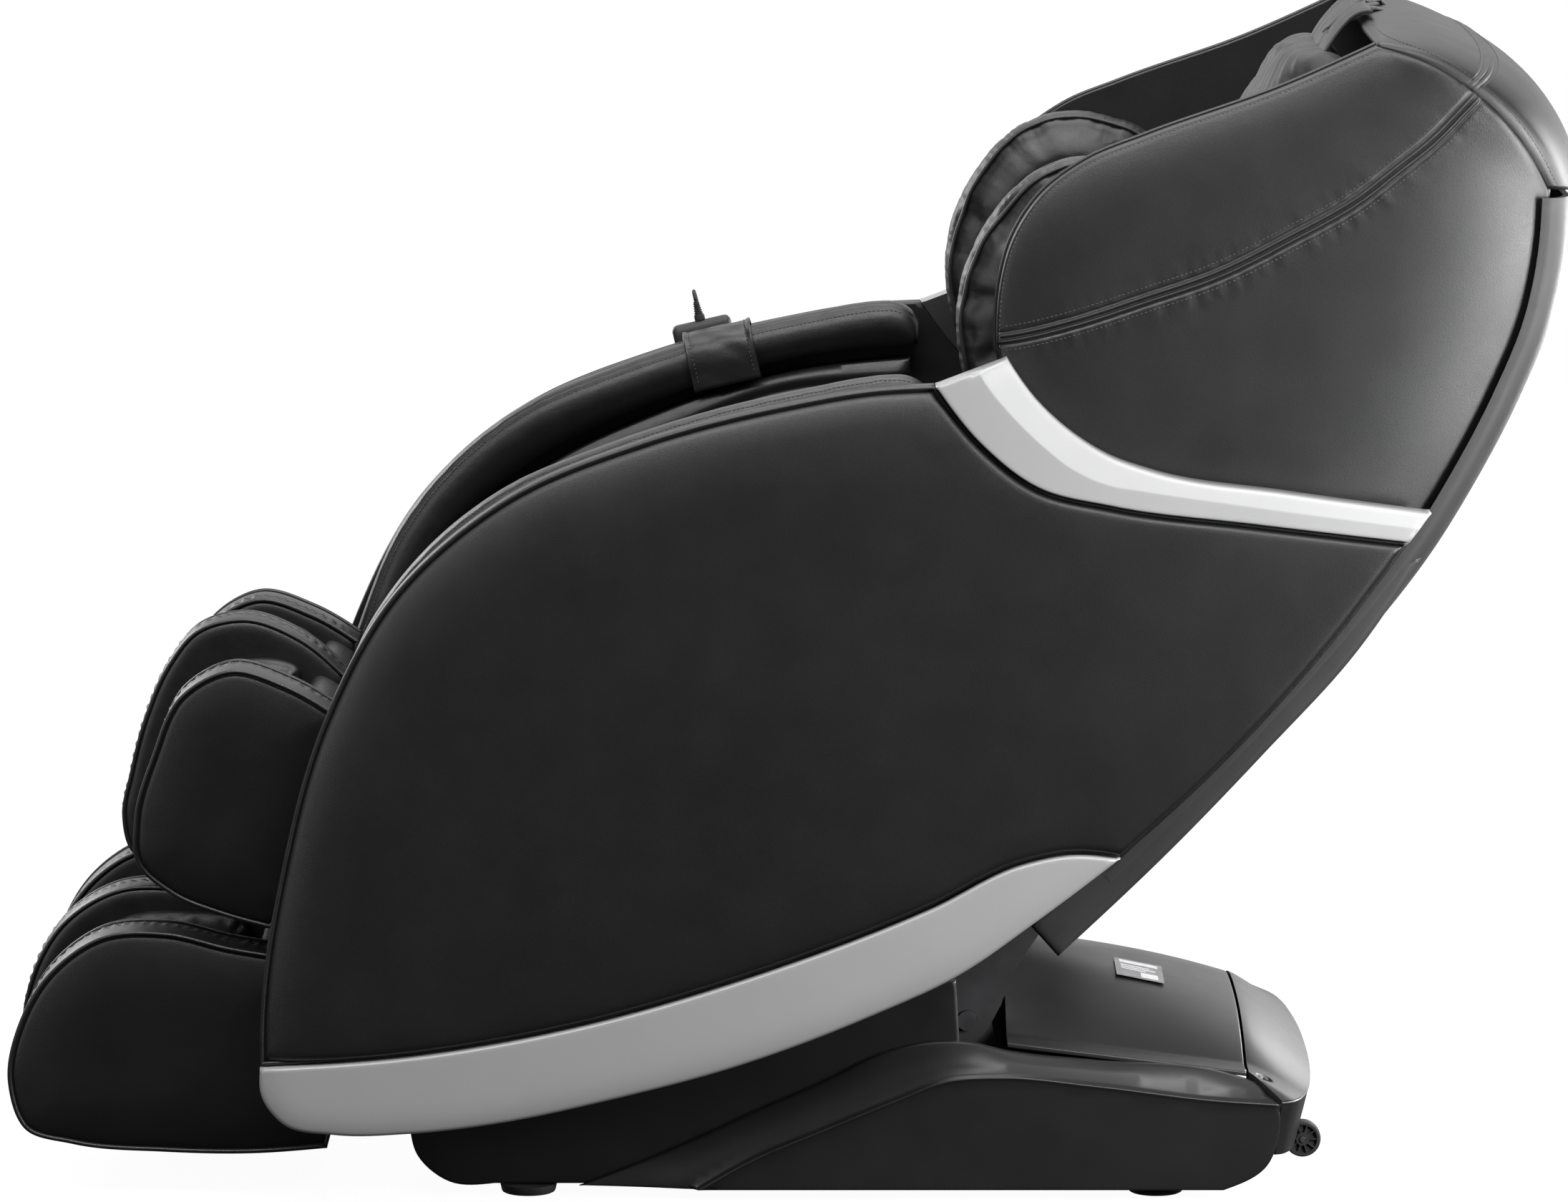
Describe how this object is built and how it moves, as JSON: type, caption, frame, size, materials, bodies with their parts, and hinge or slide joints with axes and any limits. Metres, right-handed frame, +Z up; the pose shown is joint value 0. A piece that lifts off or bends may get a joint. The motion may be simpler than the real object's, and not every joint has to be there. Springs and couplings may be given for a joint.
{
  "type": "massage chair",
  "caption": "Zero-gravity massage chair: leather side panels with silver trims, winged reclining back, lifting leg rest with foot wells, low base with transport wheels, remote on the arm.",
  "frame": {"origin": "on the floor, under the middle of the chair's box (without the remote's cord)", "axes": "+Z up, the sitter faces -X, the chair's left side is at -Y and its right side, with the remote, at +Y"},
  "size_m": [1.5724, 0.8222, 1.1775],
  "materials": {
    "black_leather": "fine grain, satin",
    "pillow_leather": "soft, matt",
    "silver_satin": "satin silver paint",
    "shell_plastic": "matt",
    "base_plastic": "satin to gloss",
    "dark_steel": "black powder coat",
    "zinc_steel": "zinc plated",
    "black_rubber": "matt",
    "display_glass": "gloss",
    "label_foil": "satin foil"
  },
  "bodies": {
    "base": {"base_pan": "dark_steel", "base_front_box": "base_plastic", "base_side_cover_left": "base_plastic", "base_side_cover_right": "base_plastic", "base_hump_cover": "base_plastic", "base_end_cap": "base_plastic", "rating_plate": "label_foil", "rubber_foot_front_left": "black_rubber", "rubber_foot_front_right": "black_rubber", "rubber_foot_rear_left": "black_rubber", "rubber_foot_rear_right": "black_rubber", "tilt_bracket": "dark_steel", "control_box": "dark_steel", "power_inlet": "base_plastic", "wheel_bracket_left": "dark_steel", "wheel_bracket_right": "dark_steel"},
    "wheel_left": {"transport_wheel_left": "black_rubber"},
    "wheel_right": {"transport_wheel_right": "black_rubber"},
    "switch_rocker": {"power_switch": "black_rubber"},
    "body_shell": {"chassis_plate_left": "dark_steel", "chassis_plate_right": "dark_steel", "seat_pan": "dark_steel", "tilt_yoke": "dark_steel", "seat_cushion": "black_leather", "side_panel_left": "black_leather", "side_panel_right": "black_leather", "lower_trim_left": "silver_satin", "lower_trim_right": "silver_satin", "upper_trim_left": "silver_satin", "upper_trim_right": "silver_satin", "arm_top_left": "black_leather", "arm_top_right": "black_leather", "arm_lining_left": "black_leather", "arm_lining_right": "black_leather", "remote_pouch": "black_leather", "cord_gland": "black_rubber"},
    "backrest": {"back_shell": "shell_plastic", "wing_left": "black_leather", "wing_right": "black_leather", "hood": "black_leather", "shoulder_pad_left": "black_leather", "shoulder_pad_right": "black_leather", "back_pad": "black_leather", "back_frame": "dark_steel"},
    "carriage": {"massage_carriage": "dark_steel"},
    "roller_arms": {"massage_rollers": "zinc_steel"},
    "pillow": {"head_pillow": "pillow_leather"},
    "leg_rest": {"calf_side_left": "black_leather", "calf_side_right": "black_leather", "calf_liner": "black_leather", "leg_frame": "dark_steel"},
    "foot_rest": {"foot_side_left": "black_leather", "foot_side_right": "black_leather", "foot_liner": "black_leather", "foot_frame": "dark_steel"},
    "remote": {"remote_body": "base_plastic", "remote_screen": "display_glass", "remote_boot": "black_rubber", "remote_cord": "black_rubber"},
    "remote_key": {"remote_button": "black_rubber"}
  },
  "joints": [
    {"name": "body_tilt", "type": "hinge", "parent": "base", "child": "body_shell", "pos_m": [0.175, -0.01275, 0.167], "axis": [0, 1, 0], "range_deg": [0, 12]},
    {"name": "back_recline", "type": "hinge", "parent": "body_shell", "child": "backrest", "pos_m": [0.2, -0.01275, 0.36], "axis": [0, 1, 0], "range_deg": [0, 35]},
    {"name": "leg_lift", "type": "hinge", "parent": "body_shell", "child": "leg_rest", "pos_m": [-0.43, -0.01275, 0.452], "axis": [0, 1, 0], "range_deg": [0, 85]},
    {"name": "foot_extend", "type": "slide", "parent": "leg_rest", "child": "foot_rest", "axis": [-0.2215, 0, -0.9751], "range_m": [0, 0.12]},
    {"name": "carriage_travel", "type": "slide", "parent": "backrest", "child": "carriage", "axis": [0.5225, 0, 0.8526], "range_m": [-0.12, 0.38]},
    {"name": "roller_rock", "type": "hinge", "parent": "carriage", "child": "roller_arms", "pos_m": [0.40312, -0.01275, 0.62256], "axis": [0, 1, 0], "range_deg": [-6, 6]},
    {"name": "pillow_flip", "type": "hinge", "parent": "backrest", "child": "pillow", "pos_m": [0.58, -0.01275, 1.175], "axis": [0, 1, 0], "range_deg": [0, 120]},
    {"name": "wheel_left_spin", "type": "hinge", "parent": "base", "child": "wheel_left", "pos_m": [0.514, -0.21775, 0.045], "axis": [0, 1, 0], "continuous": true},
    {"name": "wheel_right_spin", "type": "hinge", "parent": "base", "child": "wheel_right", "pos_m": [0.514, 0.19225, 0.045], "axis": [0, 1, 0], "continuous": true},
    {"name": "switch_rock", "type": "hinge", "parent": "base", "child": "switch_rocker", "pos_m": [0.5149, -0.00775, 0.07186], "axis": [0, 1, 0], "range_deg": [0, 14]},
    {"name": "remote_lift", "type": "slide", "parent": "body_shell", "child": "remote", "axis": [-0.225, 0, 0.9744], "range_m": [0, 0.13]},
    {"name": "remote_key_press", "type": "slide", "parent": "remote", "child": "remote_key", "axis": [0, -1, 0], "range_m": [0, 0.0012], "stiffness_N_per_m": 300}
  ],
  "couplings": [
    {"joint": "foot_extend", "follows": "leg_lift", "m_per_rad": 0.08}
  ]
}
